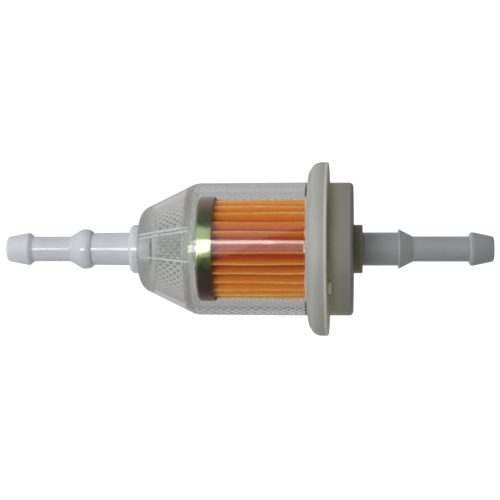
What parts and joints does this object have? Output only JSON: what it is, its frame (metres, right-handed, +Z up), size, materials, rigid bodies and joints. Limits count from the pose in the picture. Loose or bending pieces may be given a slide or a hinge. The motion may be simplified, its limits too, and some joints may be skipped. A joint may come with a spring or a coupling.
{
  "type": "inline fuel filter",
  "caption": "Inline fuel filter: clear bowl with a conical nose, pleated paper element in a plated steel end cup, milky flanged cap and a barbed hose nipple at each end.",
  "frame": {"origin": "on the flow axis, at the middle of the overall length", "axes": "+X along the flow, from the inlet nipple to the outlet nipple; +Z up; the small lug behind the flange is on the -Y side, below the axis"},
  "size_m": [0.1212, 0.043, 0.043],
  "materials": {
    "milky_nylon": "satin, slightly translucent",
    "cap_nylon": "satin, slightly translucent, faintly green",
    "clear_plastic": "clear and glossy, dimpled on the rear half",
    "plated_steel": "yellow zinc plating",
    "filter_paper": "resin-treated paper",
    "resin": "cast resin"
  },
  "bodies": {
    "root": {"inlet_nipple": "milky_nylon", "bowl": "clear_plastic", "outlet_cap": "cap_nylon", "outlet_nipple": "milky_nylon", "closed_end_cap": "plated_steel", "end_cap_potting": "resin", "pleated_media": "filter_paper", "outlet_potting": "resin"}
  },
  "joints": []
}
